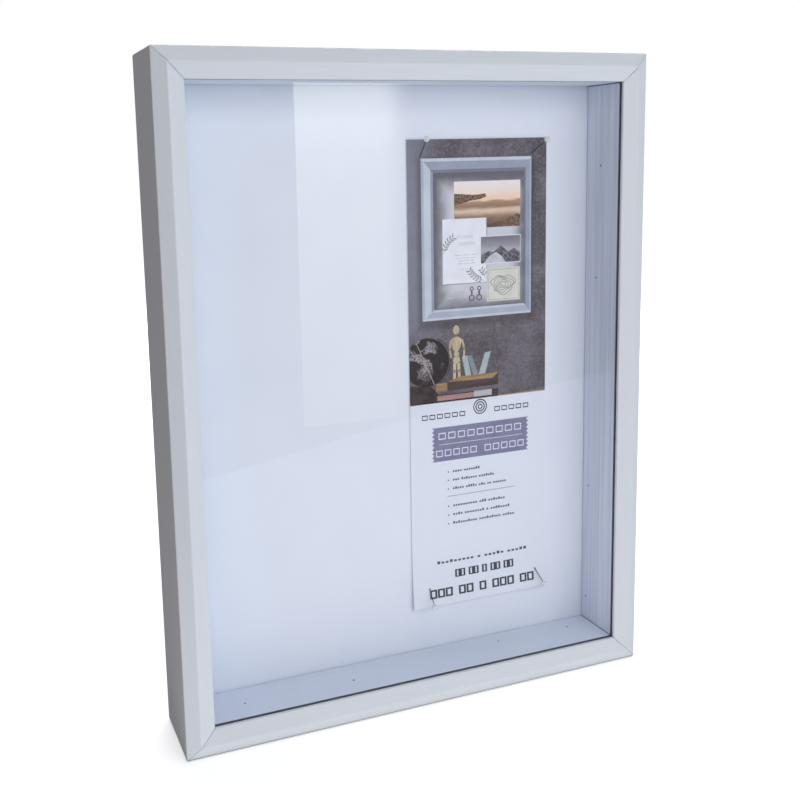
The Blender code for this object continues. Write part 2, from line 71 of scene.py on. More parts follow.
class Nodes:
    """A shader tree and short ways to build it. A value is a number or another node's socket."""

    def __init__(self, tree, coordinates="Object"):
        self.tree = tree
        self.place = self.add("ShaderNodeTexCoord").outputs[coordinates]
        axes = self.add("ShaderNodeSeparateXYZ")
        self.feed(axes.inputs[0], self.place)
        self.x, self.y, self.z = axes.outputs

    def add(self, kind, **settings):
        node = self.tree.nodes.new(kind)
        for name, value in settings.items():
            setattr(node, name, value)
        return node

    def feed(self, socket, value):
        if isinstance(value, bpy.types.NodeSocket):
            self.tree.links.new(value, socket)
        else:
            socket.default_value = value

    def feed_all(self, node, *values):
        for socket, value in zip(node.inputs, values):
            self.feed(socket, value)
        return node.outputs[0]

    def math(self, operation, *values):
        return self.feed_all(self.add("ShaderNodeMath", operation=operation), *values)

    def scaled(self, value, gain, base):
        """A value times a gain, and more by a base."""
        return self.math("MULTIPLY_ADD", value, gain, base)

    def fade(self, value, start, end, low=0.0, high=1.0, interpolation="SMOOTHSTEP"):
        """Low up to start, high from end on, and smooth between them."""
        node = self.add("ShaderNodeMapRange", interpolation_type=interpolation)
        return self.feed_all(node, value, start, end, low, high)

    def texture(self, kind, scale, shift, **settings):
        """A texture node over the coordinates, scaled and then shifted."""
        mapping = self.add("ShaderNodeMapping")
        self.feed(mapping.inputs["Vector"], self.place)
        self.feed(mapping.inputs["Location"], (shift, shift, shift))
        self.feed(mapping.inputs["Scale"], scale)
        node = self.add(kind, **settings)
        self.feed(node.inputs["Vector"], mapping.outputs[0])
        self.feed(node.inputs["Scale"], 1.0)
        return node

    def noise(self, size, detail=2.0, stretch=(1, 1, 1), shift=0.0):
        """Cloudy noise whose blotches are about size across, longer by stretch along each axis."""
        node = self.texture("ShaderNodeTexNoise", [1 / (size * share) for share in stretch], shift)
        self.feed(node.inputs["Detail"], detail)
        return node.outputs["Fac"]

    def cells(self, size, feature="F1", shift=0.0):
        """The distance from the nearest of many scattered points, about size apart."""
        node = self.texture("ShaderNodeTexVoronoi", [1 / size] * 3, shift, feature=feature)
        return node.outputs["Distance"]

    def ribs(self, pitch, axis):
        """A rise and fall every pitch along an axis."""
        turns = self.math("MULTIPLY", getattr(self, axis), math.tau / pitch)
        return self.scaled(self.math("SINE", turns), 0.5, 0.5)

    def mix(self, share, low, high, blend="MIX"):
        node = self.add("ShaderNodeMix", data_type="RGBA", blend_type=blend)
        colours = [socket for socket in node.inputs if socket.type == "RGBA"]
        self.feed(node.inputs["Factor"], share)
        for socket, colour in zip(colours, (low, high)):
            self.feed(socket, colour if isinstance(colour, bpy.types.NodeSocket) else (*colour, 1))
        return next(socket for socket in node.outputs if socket.type == "RGBA")

    def ramp(self, value, *stops):
        """Colours at places from 0 to 1 along a value."""
        node = self.add("ShaderNodeValToRGB")
        self.feed(node.inputs[0], value)
        while len(node.color_ramp.elements) < len(stops):
            node.color_ramp.elements.new(0.5)
        for element, (at, colour) in zip(node.color_ramp.elements, stops):
            element.position = at
            element.color = (*colour, 1)
        return node.outputs[0]

    def blend(self, output, share, first, second):
        """Sends a mix of two shaders to an output node."""
        mixed = self.feed_all(self.add("ShaderNodeMixShader"), share, first, second)
        self.feed(output.inputs["Surface"], mixed)


class Look(Nodes):
    """One material: a Principled shader and the nodes that drive it, in the object's own metres."""

    def __init__(self, name, **constants):
        self.material = bpy.data.materials.new(name)
        self.material.use_nodes = True
        super().__init__(self.material.node_tree)
        self.shader = self.tree.nodes["Principled BSDF"]
        for socket, value in constants.items():
            self.feed(self.shader.inputs[socket.replace("_", " ")], value)

    def finish(self, colour, roughness, height, depth):
        """Sets the colour and roughness, and raises bumps of a depth by a height from 0 to 1."""
        self.feed(self.shader.inputs["Base Color"], colour)
        self.feed(self.shader.inputs["Roughness"], roughness)
        bump = self.add("ShaderNodeBump")
        self.feed(bump.inputs["Strength"], 1.0)
        self.feed(bump.inputs["Distance"], depth)
        self.feed(bump.inputs["Height"], height)
        self.feed(self.shader.inputs["Normal"], bump.outputs[0])
        return self.material


def along_axis(axis, length):
    """A stretch that draws noise out along one axis."""
    return tuple(length if name == axis else 1 for name in "xyz")


def inset_from_edge(look):
    """How far a point is in from the nearest outer edge of the frame, seen from the front."""
    sideways = look.math("SUBTRACT", RIGHT_EDGE, look.math("ABSOLUTE", look.x))
    upwards = look.math("MINIMUM", look.z, look.math("SUBTRACT", BOX_TOP, look.z))
    return look.math("MINIMUM", sideways, upwards)


FOIL_DARK = (0.565, 0.61, 0.66)
FOIL_LIGHT = (0.615, 0.66, 0.71)
FOIL_GRAIN = (0.66, 0.7, 0.745)
FOIL_WORN = (0.72, 0.73, 0.73)
FRONT_RIM = BOX_LOW.y + 4.0 * MM  # where the front bevel meets the outer side
FOIL_WRAP = 2.6 * MM  # how far the foil folds over onto the back
RIM_WEAR = 0.9 * MM  # how far the wear reaches from the front rim
RAW_DARK = (0.27, 0.18, 0.11)
RAW_LIGHT = (0.47, 0.35, 0.235)


def frame_foil(name, axis):
    """Pale satin foil on fibreboard. The raw board shows on the back and in the rabbet."""
    look = Look(name, IOR=1.48)
    drift = look.noise(70 * MM, 3, along_axis(axis, 3))
    grain = look.noise(1.6 * MM, 4, along_axis(axis, 30), shift=2.0)
    fine = look.noise(0.5 * MM, 2)
    foil = look.mix(drift, FOIL_DARK, FOIL_LIGHT)
    foil = look.mix(look.fade(grain, 0.35, 0.75, 0.0, 0.28), foil, FOIL_GRAIN)
    scuff = look.noise(9 * MM, 5, shift=5.0)
    inset = inset_from_edge(look)
    on_rim = look.fade(inset, 0.0, RIM_WEAR, 1.0, 0.0)
    on_rim = look.math("MULTIPLY", on_rim, look.fade(look.y, FRONT_RIM, FRONT_RIM + RIM_WEAR, 1, 0))
    worn = look.math("MULTIPLY", on_rim, look.fade(scuff, 0.5, 0.62))
    foil = look.mix(worn, foil, FOIL_WORN)

    fibres = look.noise(0.9 * MM, 6, shift=7.0)
    board = look.mix(look.fade(fibres, 0.3, 0.7), RAW_DARK, RAW_LIGHT)
    on_back = look.math("GREATER_THAN", look.y, RAIL_BACK - 0.15 * MM)
    past_wrap = look.math("GREATER_THAN", inset, FOIL_WRAP)
    past_wall = look.math("GREATER_THAN", inset, WALL - 0.1 * MM)
    past_lip = look.math("GREATER_THAN", look.y, LIP_BACK - 0.45 * MM)
    in_rabbet = look.math("MULTIPLY", past_wall, past_lip)
    raw = look.math("MAXIMUM", look.math("MULTIPLY", on_back, past_wrap), in_rabbet)

    roughness = look.scaled(fine, 0.12, 0.34)
    roughness = look.scaled(raw, 0.45, roughness)
    height = look.scaled(grain, 0.5, look.math("MULTIPLY", fine, 0.25))
    height = look.scaled(look.math("MULTIPLY", raw, fibres), 1.5, height)
    return look.finish(look.mix(raw, foil, board), roughness, height, 0.03 * MM)


def liner_paper(name, axis, streaked):
    """Matt paper over strips, streaked along them, with painted shade in the gap at the lip and
    along the inside corners where the liners meet.
    """
    look = Look(name, IOR=1.42)
    drift = look.noise(60 * MM, 3)
    streaks = look.noise(2.4 * MM, 3, along_axis(axis, 60))
    fibres = look.noise(0.35 * MM, 3)
    colour = look.mix(drift, (0.64, 0.695, 0.81), (0.69, 0.745, 0.855))
    colour = look.mix(look.fade(streaks, 0.36, 0.62, 0.0, streaked), colour, (0.53, 0.585, 0.705))
    lint = look.fade(look.cells(23 * MM, shift=3.0), 0.012, 0.02, 0.7, 0.0)
    colour = look.mix(lint, colour, (0.2, 0.2, 0.23))
    # Painted shade: the paper turns nearly black just behind its front edge, where the gap at the
    # lip lies in shadow.
    lip_gap_shade = look.fade(look.y, LINER_LOW.y + 0.3 * MM, LINER_LOW.y + 0.75 * MM, 0.92, 0.0)
    # Painted shade: a nearly black line along the inside corners where the liners meet, mixed in
    # below with the shade at the lip.
    sideways = look.math("SUBTRACT", LINER_LOW.x, look.math("ABSOLUTE", look.x))
    off_middle = look.math("ABSOLUTE", look.math("SUBTRACT", look.z, MIDDLE))
    upwards = look.math("SUBTRACT", MIDDLE - TRAY, off_middle)
    from_corner = look.math("MAXIMUM", sideways, upwards)
    corner_crease_shade = look.fade(from_corner, 0.2 * MM, 0.5 * MM, 0.7, 0.0)
    colour = look.mix(look.math("MAXIMUM", lip_gap_shade, corner_crease_shade), colour, (0.02, 0.021, 0.026))
    roughness = look.scaled(fibres, 0.2, 0.5)
    return look.finish(colour, roughness, look.math("ADD", fibres, streaks), 0.02 * MM)


def clear_glass():
    """Float glass: faint waves in its surface, and lamps reach what is behind it."""
    look = Look("glass_float", IOR=1.5, Transmission_Weight=1.0)
    made = look.finish((0.975, 0.99, 0.985, 1), 0.0, look.noise(60 * MM, 1), 0.02 * MM)
    rays = look.add("ShaderNodeLightPath").outputs
    passing = look.math("MAXIMUM", rays["Is Shadow Ray"], rays["Is Diffuse Ray"])
    clear = look.add("ShaderNodeBsdfTransparent").outputs[0]
    look.blend(look.tree.nodes["Material Output"], passing, look.shader.outputs[0], clear)
    return made


THREAD_PITCH = 0.62 * MM


def cover_cloth():
    """Fine white plain weave, stretched, with the odd slub and speck of lint."""
    look = Look("cover_weave", IOR=1.4, Sheen_Weight=0.15, Sheen_Roughness=0.5)
    wander = look.noise(5 * MM, 2)
    across, upwards = look.ribs(THREAD_PITCH, "x"), look.ribs(THREAD_PITCH, "z")
    weave = look.math("MULTIPLY", across, upwards)
    slubs = look.fade(look.noise(0.8 * MM, 2, (9, 9, 1)), 0.6, 0.8)
    clouds = look.noise(38 * MM, 4, shift=1.0)
    colour = look.mix(clouds, (0.71, 0.76, 0.872), (0.77, 0.815, 0.915))
    colour = look.mix(look.fade(weave, 0.0, 1.0, 0.16, 0.0), colour, (0.58, 0.63, 0.745))
    colour = look.mix(look.math("MULTIPLY", slubs, 0.3), colour, (0.8, 0.84, 0.93))
    lint = look.fade(look.cells(31 * MM), 0.01, 0.017, 0.55, 0.0)
    colour = look.mix(lint, colour, (0.3, 0.31, 0.35))
    height = look.math("ADD", weave, look.math("MULTIPLY", slubs, 0.6))
    height = look.scaled(wander, 2.0, height)
    return look.finish(colour, look.scaled(clouds, 0.1, 0.8), height, 0.05 * MM)


def pad_foam():
    """Pale open-cell foam."""
    look = Look("pad_foam", IOR=1.35)
    pores = look.cells(0.9 * MM, "SMOOTH_F1")
    colour = look.mix(look.fade(pores, 0.2, 0.8), (0.62, 0.6, 0.54), (0.86, 0.85, 0.8))
    return look.finish(colour, look.fade(pores, 0, 1, 0.95, 0.8), pores, 0.3 * MM)


SCREEN_PITCH = 1.3 * MM


def hardboard():
    """Brown pressed board: fibres, flecks, and the fine screen that marks its back."""
    look = Look("hardboard", IOR=1.45)
    clouds = look.noise(45 * MM, 4)
    fibres = look.noise(1.1 * MM, 7, (1, 1, 2.5))
    flecks = look.fade(look.noise(1.7 * MM, 3, (2, 1, 1), shift=4.0), 0.63, 0.72)
    screen = look.math("MULTIPLY", look.ribs(SCREEN_PITCH, "x"), look.ribs(SCREEN_PITCH, "z"))
    colour = look.mix(clouds, (0.25, 0.155, 0.085), (0.33, 0.21, 0.12))
    colour = look.mix(look.fade(fibres, 0.35, 0.7, 0.0, 0.7), colour, (0.43, 0.29, 0.175))
    colour = look.mix(flecks, colour, (0.13, 0.08, 0.045))
    colour = look.mix(look.fade(screen, 0, 1, 0.25, 0.0), colour, (0.16, 0.1, 0.06))
    height = look.scaled(fibres, 0.8, screen)
    return look.finish(colour, look.scaled(fibres, 0.25, 0.6), height, 0.12 * MM)


def card_stock():
    """White coated card, a little uneven."""
    look = Look("card_stock", IOR=1.45, Coat_Weight=0.15, Coat_Roughness=0.3)
    fibres = look.noise(0.3 * MM, 4)
    clouds = look.noise(40 * MM, 3)
    colour = look.mix(clouds, (0.68, 0.725, 0.835), (0.725, 0.77, 0.875))
    colour = look.mix(look.fade(fibres, 0.3, 0.7, 0.0, 0.15), colour, (0.68, 0.73, 0.84))
    return look.finish(colour, look.scaled(fibres, 0.15, 0.38), fibres, 0.01 * MM)


def plated(name, dark, light, rough, axis="x"):
    """Plated or drawn metal: brushed streaks, a dull bloom and a few dark nicks."""
    look = Look(name, Metallic=1.0)
    bloom = look.noise(4 * MM, 4)
    streaks = look.noise(0.25 * MM, 3, along_axis(axis, 14))
    nicks = look.fade(look.noise(1.1 * MM, 4, shift=6.0), 0.66, 0.72)
    colour = look.mix(bloom, dark, light)
    colour = look.mix(nicks, colour, [share * 0.45 for share in dark])
    roughness = look.scaled(streaks, 0.25, rough)
    roughness = look.scaled(bloom, 0.15, roughness)
    return look.finish(colour, roughness, streaks, 0.015 * MM)


def pearly_plastic():
    """A translucent white ball, a little milky and uneven inside."""
    look = Look(
        "pin_pearl", IOR=1.5, Coat_Weight=0.6, Coat_Roughness=0.05, Transmission_Weight=0.25
    )
    milk = look.noise(1.2 * MM, 3)
    colour = look.mix(milk, (0.78, 0.82, 0.86), (0.93, 0.95, 0.97))
    return look.finish(colour, look.scaled(milk, 0.15, 0.08), milk, 0.01 * MM)


INK_ROUGHNESS = 0.34


def ink_look(name):
    return Look(name, IOR=1.45, Specular_IOR_Level=0.2)


def printed(look, colour, texture, unevenness=0.08, depth=0.004 * MM):
    """Finishes a printed colour on coated card, with the slight unevenness of print."""
    roughness = look.scaled(texture, unevenness, INK_ROUGHNESS)
    return look.finish(colour, roughness, texture, depth)


def ink(name, dark, light, blotch=6.0, stretch=(1, 1, 1), contrast=1.0):
    """A printed colour that wanders between two tones."""
    look = ink_look(name)
    blotches = look.noise(blotch * MM, 3, stretch)
    share = look.fade(blotches, 0.5 - 0.25 / contrast, 0.5 + 0.25 / contrast)
    dots = look.noise(0.3 * MM, 1)
    colour = look.mix(share, dark, light)
    colour = look.mix(look.math("MULTIPLY", dots, 0.12), colour, light)
    return printed(look, colour, dots, 0.12, 0.005 * MM)


def from_place(look, x, z):
    """How far each point is to the right of a place on the card, and how far above it."""
    across = look.math("SUBTRACT", look.x, x * MM)
    return across, look.math("SUBTRACT", look.z, MIDDLE + z * MM)


def box_distance(look, left, right, low, high):
    """Distance outside a rectangle on the card, in metres and negative inside it."""
    across, upwards = from_place(look, (left + right) / 2, (low + high) / 2)
    across = look.math("SUBTRACT", look.math("ABSOLUTE", across), (right - left) / 2 * MM)
    upwards = look.math("SUBTRACT", look.math("ABSOLUTE", upwards), (high - low) / 2 * MM)
    return look.math("MAXIMUM", across, upwards)


def plaster_ink():
    """The printed wall: mottled plaster, with the soft shadow of the picture on it."""
    look = ink_look("ink_plaster")
    clouds = look.noise(24 * MM, 5)
    pits = look.noise(1.8 * MM, 4, shift=3.0)
    stains = look.noise(8 * MM, 4, shift=8.0)
    colour = look.mix(look.fade(clouds, 0.36, 0.64), (0.11, 0.097, 0.117), (0.178, 0.165, 0.2))
    colour = look.mix(look.fade(stains, 0.36, 0.5, 0.2, 0.0), colour, (0.085, 0.072, 0.08))
    colour = look.mix(look.fade(pits, 0.53, 0.64, 0.0, 0.24), colour, (0.3, 0.28, 0.32))
    colour = look.mix(look.fade(pits, 0.36, 0.46, 0.3, 0.0), colour, (0.05, 0.042, 0.05))
    cool = look.fade(look.x, 7 * MM, 40 * MM, 0.75, 0.0)
    cool = look.math("MULTIPLY", cool, look.fade(look.z, MIDDLE, MIDDLE + 60 * MM))
    colour = look.mix(cool, colour, (0.235, 0.25, 0.33))
    shade = look.fade(box_distance(look, 17.5, 104.5, 38.5, 152), 0.0, 6 * MM, 0.5, 0.0)
    colour = look.mix(shade, colour, (0.05, 0.045, 0.055))
    low = look.fade(look.z, MIDDLE - 20 * MM, MIDDLE + 60 * MM, 0.25, 0.0)
    colour = look.mix(low, colour, (0.07, 0.06, 0.07))
    return printed(look, colour, pits, 0.1, 0.005 * MM)


def vignette_ink():
    """The printed mount inside the picture: pale, and shaded towards its edges."""
    look = ink_look("ink_vignette")
    depth = box_distance(look, 27.5, 101, 47, 142)
    uneven = look.noise(9 * MM, 4)
    depth = look.scaled(uneven, 7 * MM, depth)
    shade = look.fade(depth, -11 * MM, 4 * MM)
    return printed(look, look.mix(shade, (0.6, 0.61, 0.69), (0.135, 0.135, 0.165)), uneven)


def banded_ink(name, low, high, stops, ripple):
    """Printed bands of colour between two heights, with ripples, such as sky over water."""
    look = ink_look(name)
    waves = look.noise(2.0 * MM, 4, (5, 1, 1))
    level = look.fade(look.z, MIDDLE + low * MM, MIDDLE + high * MM)
    level = look.math("ADD", level, look.scaled(waves, ripple, -ripple / 2))
    return printed(look, look.ramp(level, *stops), waves)


def ball_ink(name, x, z, radius):
    """A printed globe: dark seas, pale land, and shading that rounds it."""
    look = ink_look(name)
    land = look.fade(look.noise(11 * MM, 6, (1, 1, 0.8), shift=1.7), 0.5, 0.56)
    ridges = look.noise(1.3 * MM, 4)
    patchy = look.math("MULTIPLY", land, look.fade(ridges, 0.25, 0.75))
    colour = look.mix(patchy, (0.035, 0.028, 0.032), (0.44, 0.43, 0.47))
    lit_at = from_place(look, x - 0.3 * radius, z + 0.3 * radius)
    squares = [look.math("POWER", offset, 2.0) for offset in lit_at]
    from_lit = look.math("SQRT", look.math("ADD", *squares))
    shade = look.fade(from_lit, 0.4 * radius * MM, 1.35 * radius * MM)
    return printed(look, look.mix(shade, colour, (0.03, 0.022, 0.025)), ridges)


# --- Shapes -----------------------------------------------------------------------------------


CREASE = math.radians(40)  # edges sharper than this stay sharp


def finished(name, form, looks, smooth=True):
    """A new object from a bmesh, its normals pointing out."""
    form.normal_update()
    bmesh.ops.recalc_face_normals(form, faces=form.faces)
    mesh = bpy.data.meshes.new(name)
    form.to_mesh(mesh)
    form.free()
    for look in looks:
        mesh.materials.append(look)
    if smooth:
        mesh.shade_smooth()
        mesh.set_sharp_from_angle(angle=CREASE)
    made = bpy.data.objects.new(name, mesh)
    bpy.context.scene.collection.objects.link(made)
    return made


def span(start, end, steps):
    """Evenly spaced values from start to end, both among them."""
    return [start + (end - start) * step / steps for step in range(steps + 1)]


def ellipse(x, z, across, upwards, start=0, end=360, steps=28):
    angles = span(math.radians(start), math.radians(end), steps)
    points = [(x + across * math.cos(a), z + upwards * math.sin(a)) for a in angles]
    return points[:-1] if end - start == 360 else points


def rectangle(left, low, right, high):
    return [(left, low), (right, low), (right, high), (left, high)]


card_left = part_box("insert_card")[0].x
card_edge = [
    vertex.co
    for vertex in frame["nodes"]["insert_card"].data.vertices
    if vertex.co.x < card_left + 0.1 * MM
]
card_heights = sorted({round(point.z, 4) for point in card_edge})
card_fronts = [
    min(point.y for point in card_edge if abs(point.z - height) < 0.2 * MM)
    for height in card_heights
]


def card_front(z):
    """Y of the card's front at a height on it, following the curl at its foot."""
    return float(np.interp(MIDDLE + z * MM, card_heights, card_fronts))


WORD_SPACE = 0.7  # of a letter's pitch, between words
BLOCK_WIDTH = 0.66  # of a letter's pitch
GREEK = random.Random(12)


class Print:
    """Printed areas on the card, gathered into one thin mesh. Millimetres from the middle."""

    SHEET = 0.04 * MM

    def __init__(self, name):
        self.name, self.form, self.looks = name, bmesh.new(), []

    def corner(self, x, z, layer):
        """The front and back points of an area's edge, on the card's own curve."""
        front = card_front(z) - (layer + 1.6) * self.SHEET
        height = MIDDLE + z * MM
        sides = front, front + 0.8 * self.SHEET
        return [self.form.verts.new((x * MM, y, height)) for y in sides]

    def paint(self, faces, look):
        if look not in self.looks:
            self.looks.append(look)
        for face in faces:
            face.material_index = self.looks.index(look)

    def area(self, outline, layer, look):
        edge = [self.corner(x, z, layer) for x, z in outline]
        faces = [self.form.faces.new([pair[side] for pair in edge]) for side in (0, 1)]
        for here, pair in enumerate(edge):
            before = edge[here - 1]
            faces.append(self.form.faces.new((before[0], pair[0], pair[1], before[1])))
        self.paint(faces, look)

    def stroke(self, points, width, layer, look, closed=False):
        """A line of even width through points."""
        count = len(points)
        rings = []
        for here, (x, z) in enumerate(points):
            before = points[here - 1] if closed or here else points[0]
            after = points[(here + 1) % count] if closed or here + 1 < count else points[-1]
            way = Vector((after[0] - before[0], after[1] - before[1])).normalized()
            side = Vector((-way.y, way.x)) * width / 2
            left = self.corner(x + side.x, z + side.y, layer)
            right = self.corner(x - side.x, z - side.y, layer)
            rings.append((left[0], right[0], right[1], left[1]))
        pairs = list(zip(rings, rings[1:] + rings[:1] if closed else rings[1:]))
        faces = []
        for one, other in pairs:
            for here in range(4):
                after = (here + 1) % 4
                around = one[here], other[here], other[after], one[after]
                faces.append(self.form.faces.new(around))
        if not closed:
            faces += [self.form.faces.new(rings[0]), self.form.faces.new(rings[-1][::-1])]
        self.paint(faces, look)

    def words(self, left, right, z, height, layer, look, letters, line=0):
        """A row of blank blocks, or boxes drawn in a line, in place of each word's letters."""
        units = sum(letters) + WORD_SPACE * (len(letters) - 1)
        pitch = (right - left) / units
        wide = pitch * BLOCK_WIDTH
        at = left
        for count in letters:
            for _ in range(count):
                tall = height if line else height * GREEK.choice((1, 1, 1, 1.45))
                block = rectangle(at, z - height / 2, at + wide, z - height / 2 + tall)
                if line:
                    self.stroke(block, line, layer, look, closed=True)
                else:
                    self.area(block, layer, look)
                at += pitch
            at += pitch * WORD_SPACE

    def done(self):
        made = finished(self.name, self.form, self.looks, smooth=False)
        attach(made, "back_panel")
        return made


# --- The frame's own pieces -------------------------------------------------------------------


def dress(node, *looks):
    slots = frame["nodes"][node].data.materials
    slots.clear()
    for look in looks:
        slots.append(look)


def dress_frame():
    foils = {axis: frame_foil(f"foil_along_{axis}", axis) for axis in "xz"}
    papers = {
        "x": liner_paper("liner_along_x", "x", 0.15),
        "z": liner_paper("liner_along_z", "z", 0.7),
    }
    zinc = plated("zinc", (0.55, 0.55, 0.53), (0.68, 0.685, 0.67), 0.24)
    steel = plated("dark_steel", (0.02, 0.02, 0.022), (0.06, 0.058, 0.06), 0.4, "z")
    for side, axis in (("bottom", "x"), ("top", "x"), ("left", "z"), ("right", "z")):
        dress(f"{side}_rail" if axis == "x" else f"{side}_stile", foils[axis])
        dress(f"liner_{side}", papers[axis])
        for hand in "ab":
            dress(f"turn_button_{side}_{hand}", zinc)
            dress(f"button_screw_{side}_{hand}", zinc)
        for number in (1, 2, 3, 4):
            dress(f"brad_{side}_{number}", steel)
    for end in ("top", "bottom"):
        for side in ("left", "right"):
            dress(f"corner_nail_{end}_{side}", steel)
    for use in ("portrait", "landscape"):
        dress(f"hanger_{use}", zinc)
        for number in (1, 2):
            dress(f"hanger_nail_{use}_{number}", zinc)
    dress("glass_pane", clear_glass())
    dress("back_board", hardboard())
    dress("insert_card", card_stock())


FILLER_INSET = 0.04 * MM  # in from the moulding's outline
FILLER_GAP = 0.03 * MM  # off the end of the stile
FILLER_THICK = 0.24 * MM


def mitre_filler():
    look = Look("mitre_filler", IOR=1.45)
    lumps = look.noise(0.7 * MM, 4)
    colour = look.mix(lumps, (0.5, 0.54, 0.59), (0.6, 0.645, 0.695))
    return look.finish(colour, look.scaled(lumps, 0.2, 0.5), lumps, 0.03 * MM)


def fill_mitres():
    """A sliver of filler in each mitre, cut from the outline of the stile's own end."""
    look = mitre_filler()
    for side in ("left", "right"):
        for end, up in (("bottom", -1), ("top", 1)):
            stile = frame["nodes"][f"{side}_stile"]
            way = Vector((1 if side == "left" else -1, 0, up)).normalized()
            form = bmesh.new()
            form.from_mesh(stile.data)
            form.normal_update()
            others = [face for face in form.faces if face.normal.dot(way) < 0.999]
            bmesh.ops.delete(form, geom=others, context="FACES")
            kept = form.faces[:]
            rim = bmesh.ops.inset_region(form, faces=kept, thickness=FILLER_INSET)["faces"]
            bmesh.ops.delete(form, geom=rim, context="FACES")
            grown = bmesh.ops.extrude_face_region(form, geom=form.faces[:])["geom"]
            ends = [item for item in grown if isinstance(item, bmesh.types.BMVert)]
            bmesh.ops.translate(form, verts=form.verts, vec=way * FILLER_GAP)
            bmesh.ops.translate(form, verts=ends, vec=way * FILLER_THICK)
            filler = finished(f"mitre_filler_{end}_{side}", form, [look], smooth=False)
            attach(filler, "frame")


# --- The cushion ------------------------------------------------------------------------------


def open_box(low, high, cell):
    """The front and four sides of a box as one sheet of small square faces."""
    form = bmesh.new()
    counts = [max(1, round((high[axis] - low[axis]) / cell)) for axis in range(3)]
    lines = [span(low[axis], high[axis], counts[axis]) for axis in range(3)]
    corners = {}

    def corner(point):
        key = tuple(round(value, 7) for value in point)
        if key not in corners:
            corners[key] = form.verts.new(point)
        return corners[key]

    def patch(first, second, point):
        for one, other in zip(first, first[1:]):
            for low_end, high_end in zip(second, second[1:]):
                around = ((one, low_end), (other, low_end), (other, high_end), (one, high_end))
                form.faces.new([corner(point(*pair)) for pair in around])

    patch(lines[0], lines[2], lambda x, z: (x, low[1], z))
    for z in (low[2], high[2]):
        patch(lines[0], lines[1], lambda x, y, z=z: (x, y, z))
    for x in (low[0], high[0]):
        patch(lines[1], lines[2], lambda y, z, x=x: (x, y, z))
    return form


COVER_CELL = 2.9 * MM
COVER_ROUNDING = 2.6 * MM
COVER_SWELL = 0.35 * MM
COVER_THICKNESS = 0.5 * MM
PAD_CELL = 5 * MM
PAD_ROUNDING = 2.4 * MM
PAD_SWELL = 0.3 * MM
PAD_INSET_LOW = Vector((0.4, 0.45, 0.4)) * MM  # in from the foam's plain solid
PAD_INSET_HIGH = Vector((0.4, 0.0, 0.4)) * MM
RIM_SLOPE = 9  # the front falls away over the outer ninth of each half


def soften_front(form, low, high, radius, swell):
    """Rounds the front edges, draws the sides in a little and lets the front rise and fall."""
    width, thickness, height = (high[axis] - low[axis] for axis in range(3))
    for vertex in form.verts:
        point = vertex.co
        core_x = min(max(point.x, low.x + radius), high.x - radius)
        core_z = min(max(point.z, low.z + radius), high.z - radius)
        core = Vector((core_x, max(point.y, low.y + radius), core_z))
        off = point - core
        if off.length > 1e-9:
            point = core + off.normalized() * min(radius, off.length)
        share_x = 1 - abs(2 * (point.x - low.x) / width - 1)
        share_z = 1 - abs(2 * (point.z - low.z) / height - 1)
        rim = min(1.0, min(share_x, share_z) * RIM_SLOPE)
        ripple = noise.noise(point * 28) * 0.5 + noise.noise(point * 75) * 0.25
        sunk = swell * (1 - rim**0.5) + swell * 0.35 * (0.5 + ripple)
        depth = (high.y - point.y) / thickness
        vertex.co = point + Vector((0, sunk * max(0.0, depth), 0))


def make_cushion():
    """The cover stretched over the foam. Each fills its plain solid's space."""
    low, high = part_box("cushion_fabric")
    form = open_box(low, high, COVER_CELL)
    soften_front(form, low, high, COVER_ROUNDING, COVER_SWELL)
    cover = finished("cushion_cover", form, [cover_cloth()])
    thick = cover.modifiers.new("thickness", "SOLIDIFY")
    thick.thickness = COVER_THICKNESS
    thick.offset = -1
    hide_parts("cushion_fabric")
    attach(cover, "back_panel")

    low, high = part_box("cushion_foam")
    low, high = low + PAD_INSET_LOW, high - PAD_INSET_HIGH
    form = open_box(low, high, PAD_CELL)
    soften_front(form, low, high, PAD_ROUNDING, PAD_SWELL)
    back = [edge for edge in form.edges if edge.is_boundary]
    bmesh.ops.contextual_create(form, geom=back)
    pad = finished("cushion_pad", form, [pad_foam()])
    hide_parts("cushion_foam")
    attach(pad, "back_panel")


# --- Pins -------------------------------------------------------------------------------------


def turned(profile, sides):
    """A profile of (radius, height) points, from axis to axis, turned about Z."""
    form = bmesh.new()
    points = [form.verts.new((radius, 0, height)) for radius, height in profile]
    edges = [form.edges.new(pair) for pair in zip(points, points[1:])]
    bmesh.ops.spin(
        form, geom=points + edges, axis=(0, 0, 1), cent=(0, 0, 0), steps=sides, angle=math.tau
    )
    bmesh.ops.remove_doubles(form, verts=form.verts, dist=1e-7)
    return form


SHANK = 0.33 * MM  # radius
SHANK_END = 1.7  # radii of the ball, in from the pin's outer end
BALL_EASE = 0.99  # of the plain solid's radius


